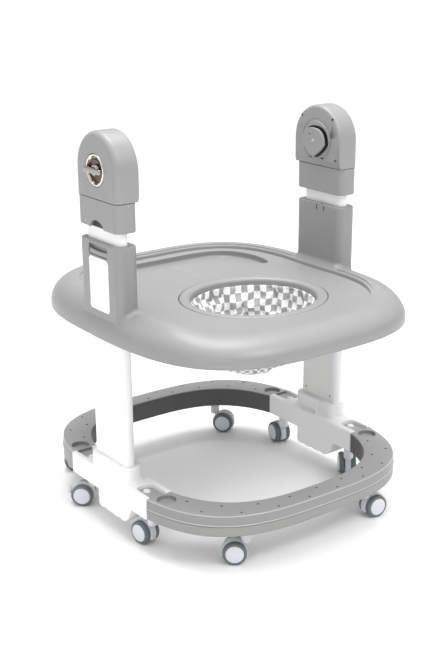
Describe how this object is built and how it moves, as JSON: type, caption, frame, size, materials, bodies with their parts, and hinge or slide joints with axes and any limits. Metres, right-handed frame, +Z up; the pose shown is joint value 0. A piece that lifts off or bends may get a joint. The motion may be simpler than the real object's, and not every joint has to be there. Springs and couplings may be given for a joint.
{
  "type": "baby walker",
  "caption": "Baby walker: a rounded base ring on twin-wheel casters, two columns with lock heads, and a height-adjustable tray with a sling seat.",
  "frame": {"origin": "on the floor, below the middle of the tray and of the base ring", "axes": "+Z up, +Y the way the child faces, +X to the child's right"},
  "size_m": [0.6452, 0.731, 0.853],
  "materials": {
    "tray_plastic": "satin moulded warm grey plastic",
    "head_plastic": "satin moulded mid grey plastic",
    "ring_plastic": "satin moulded cool grey plastic",
    "skirt_plastic": "satin moulded grey plastic",
    "white_plastic": "satin moulded white plastic",
    "column_white": "smooth white",
    "cover_plastic": "fine matt light grey plastic",
    "chrome": "bright plated",
    "steel": "zinc plated",
    "tyre": "soft dark grey-green tread",
    "caster_plastic": "light grey moulded plastic",
    "seat_fabric": "woven, white and grey check"
  },
  "bodies": {
    "base": {"front_ring_shell": "ring_plastic", "front_ring_skirt": "skirt_plastic", "rear_ring_shell": "ring_plastic", "rear_ring_skirt": "skirt_plastic", "left_bracket": "white_plastic", "right_bracket": "white_plastic", "left_column": "column_white", "right_column": "column_white", "left_column_cover": "cover_plastic", "right_column_cover": "cover_plastic", "left_head_collar": "head_plastic", "right_head_collar": "head_plastic", "left_head_cap": "head_plastic", "right_head_cap": "head_plastic", "left_knob_bezel": "chrome", "right_knob_bezel": "chrome", "rear_left_caster_stem": "steel", "rear_right_caster_stem": "steel", "front_right_caster_stem": "steel", "front_left_caster_stem": "steel", "left_rear_caster_stem": "steel", "left_front_caster_stem": "steel", "right_front_caster_stem": "steel", "right_rear_caster_stem": "steel"},
    "tray": {"tray_shell": "tray_plastic", "seat_ring": "tray_plastic", "seat_sling": "seat_fabric", "left_label_plate": "white_plastic", "right_label_plate": "white_plastic"},
    "front_left_button": {"front_left_button": "white_plastic"},
    "front_right_button": {"front_right_button": "white_plastic"},
    "rear_left_button": {"rear_left_button": "white_plastic"},
    "rear_right_button": {"rear_right_button": "white_plastic"},
    "left_height_lever": {"left_height_lever": "head_plastic"},
    "right_height_lever": {"right_height_lever": "head_plastic"},
    "left_lock": {"left_knob": "chrome", "left_lock_cam": "head_plastic"},
    "right_lock": {"right_knob": "chrome", "right_lock_cam": "head_plastic"},
    "rear_left_caster": {"rear_left_caster_hood": "caster_plastic"},
    "rear_left_wheels": {"rear_left_caster_wheels": "tyre"},
    "rear_right_caster": {"rear_right_caster_hood": "caster_plastic"},
    "rear_right_wheels": {"rear_right_caster_wheels": "tyre"},
    "front_right_caster": {"front_right_caster_hood": "caster_plastic"},
    "front_right_wheels": {"front_right_caster_wheels": "tyre"},
    "front_left_caster": {"front_left_caster_hood": "caster_plastic"},
    "front_left_wheels": {"front_left_caster_wheels": "tyre"},
    "left_rear_caster": {"left_rear_caster_hood": "caster_plastic"},
    "left_rear_wheels": {"left_rear_caster_wheels": "tyre"},
    "left_front_caster": {"left_front_caster_hood": "caster_plastic"},
    "left_front_wheels": {"left_front_caster_wheels": "tyre"},
    "left_front_brake": {"left_front_caster_brake": "caster_plastic"},
    "right_front_caster": {"right_front_caster_hood": "caster_plastic"},
    "right_front_wheels": {"right_front_caster_wheels": "tyre"},
    "right_front_brake": {"right_front_caster_brake": "caster_plastic"},
    "right_rear_caster": {"right_rear_caster_hood": "caster_plastic"},
    "right_rear_wheels": {"right_rear_caster_wheels": "tyre"}
  },
  "joints": [
    {"name": "tray_height", "type": "slide", "parent": "base", "child": "tray", "axis": [0, 0, 1], "range_m": [-0.075, 0.024]},
    {"name": "front_left_button_press", "type": "slide", "parent": "base", "child": "front_left_button", "axis": [0, 0, -1], "range_m": [0, 0.003], "stiffness_N_per_m": 600},
    {"name": "front_right_button_press", "type": "slide", "parent": "base", "child": "front_right_button", "axis": [0, 0, -1], "range_m": [0, 0.003], "stiffness_N_per_m": 600},
    {"name": "rear_left_button_press", "type": "slide", "parent": "base", "child": "rear_left_button", "axis": [0, 0, -1], "range_m": [0, 0.003], "stiffness_N_per_m": 600},
    {"name": "rear_right_button_press", "type": "slide", "parent": "base", "child": "rear_right_button", "axis": [0, 0, -1], "range_m": [0, 0.003], "stiffness_N_per_m": 600},
    {"name": "left_height_lever_lift", "type": "slide", "parent": "tray", "child": "left_height_lever", "axis": [0, 0, 1], "range_m": [0, 0.008], "stiffness_N_per_m": 500},
    {"name": "right_height_lever_lift", "type": "slide", "parent": "tray", "child": "right_height_lever", "axis": [0, 0, 1], "range_m": [0, 0.008], "stiffness_N_per_m": 500},
    {"name": "left_lock_turn", "type": "hinge", "parent": "base", "child": "left_lock", "pos_m": [-0.2887, 0, 0.777], "axis": [-1, 0, 0], "range_deg": [0, 90]},
    {"name": "right_lock_turn", "type": "hinge", "parent": "base", "child": "right_lock", "pos_m": [0.2887, 0, 0.777], "axis": [1, 0, 0], "range_deg": [0, 90]},
    {"name": "rear_left_swivel", "type": "hinge", "parent": "base", "child": "rear_left_caster", "pos_m": [-0.163, -0.288, 0.07], "axis": [0, 0, 1], "continuous": true},
    {"name": "rear_left_roll", "type": "hinge", "parent": "rear_left_caster", "child": "rear_left_wheels", "pos_m": [-0.18137, -0.27416, 0.025], "axis": [-0.6018, -0.7986, 0], "continuous": true},
    {"name": "rear_right_swivel", "type": "hinge", "parent": "base", "child": "rear_right_caster", "pos_m": [0.163, -0.288, 0.07], "axis": [0, 0, 1], "continuous": true},
    {"name": "rear_right_roll", "type": "hinge", "parent": "rear_right_caster", "child": "rear_right_wheels", "pos_m": [0.18583, -0.2908, 0.025], "axis": [0.1219, 0.9925, 0], "continuous": true},
    {"name": "front_right_swivel", "type": "hinge", "parent": "base", "child": "front_right_caster", "pos_m": [0.192, 0.3, 0.07], "axis": [0, 0, 1], "continuous": true},
    {"name": "front_right_roll", "type": "hinge", "parent": "front_right_caster", "child": "front_right_wheels", "pos_m": [0.20709, 0.28264, 0.025], "axis": [0.7547, 0.6561, 0], "continuous": true},
    {"name": "front_left_swivel", "type": "hinge", "parent": "base", "child": "front_left_caster", "pos_m": [-0.192, 0.3, 0.07], "axis": [0, 0, 1], "continuous": true},
    {"name": "front_left_roll", "type": "hinge", "parent": "front_left_caster", "child": "front_left_wheels", "pos_m": [-0.21192, 0.3115, 0.025], "axis": [-0.5, -0.866, 0], "continuous": true},
    {"name": "left_rear_swivel", "type": "hinge", "parent": "base", "child": "left_rear_caster", "pos_m": [-0.274, -0.114, 0.07], "axis": [0, 0, 1], "continuous": true},
    {"name": "left_rear_roll", "type": "hinge", "parent": "left_rear_caster", "child": "left_rear_wheels", "pos_m": [-0.2776, -0.09128, 0.025], "axis": [-0.9877, -0.1564, 0], "continuous": true},
    {"name": "left_front_swivel", "type": "hinge", "parent": "base", "child": "left_front_caster", "pos_m": [-0.274, 0.124, 0.07], "axis": [0, 0, 1], "continuous": true},
    {"name": "left_front_roll", "type": "hinge", "parent": "left_front_caster", "child": "left_front_wheels", "pos_m": [-0.29026, 0.14026, 0.025], "axis": [-0.7071, -0.7071, 0], "continuous": true},
    {"name": "left_front_brake_press", "type": "hinge", "parent": "left_front_caster", "child": "left_front_brake", "pos_m": [-0.29026, 0.14026, 0.025], "axis": [-0.7071, -0.7071, 0], "range_deg": [0, 20]},
    {"name": "right_front_swivel", "type": "hinge", "parent": "base", "child": "right_front_caster", "pos_m": [0.274, 0.124, 0.07], "axis": [0, 0, 1], "continuous": true},
    {"name": "right_front_roll", "type": "hinge", "parent": "right_front_caster", "child": "right_front_wheels", "pos_m": [0.27878, 0.1465, 0.025], "axis": [-0.9781, 0.2079, 0], "continuous": true},
    {"name": "right_front_brake_press", "type": "hinge", "parent": "right_front_caster", "child": "right_front_brake", "pos_m": [0.27878, 0.1465, 0.025], "axis": [-0.9781, 0.2079, 0], "range_deg": [0, 20]},
    {"name": "right_rear_swivel", "type": "hinge", "parent": "base", "child": "right_rear_caster", "pos_m": [0.274, -0.114, 0.07], "axis": [0, 0, 1], "continuous": true},
    {"name": "right_rear_roll", "type": "hinge", "parent": "right_rear_caster", "child": "right_rear_wheels", "pos_m": [0.28719, -0.09516, 0.025], "axis": [-0.8191, 0.5736, 0], "continuous": true}
  ]
}
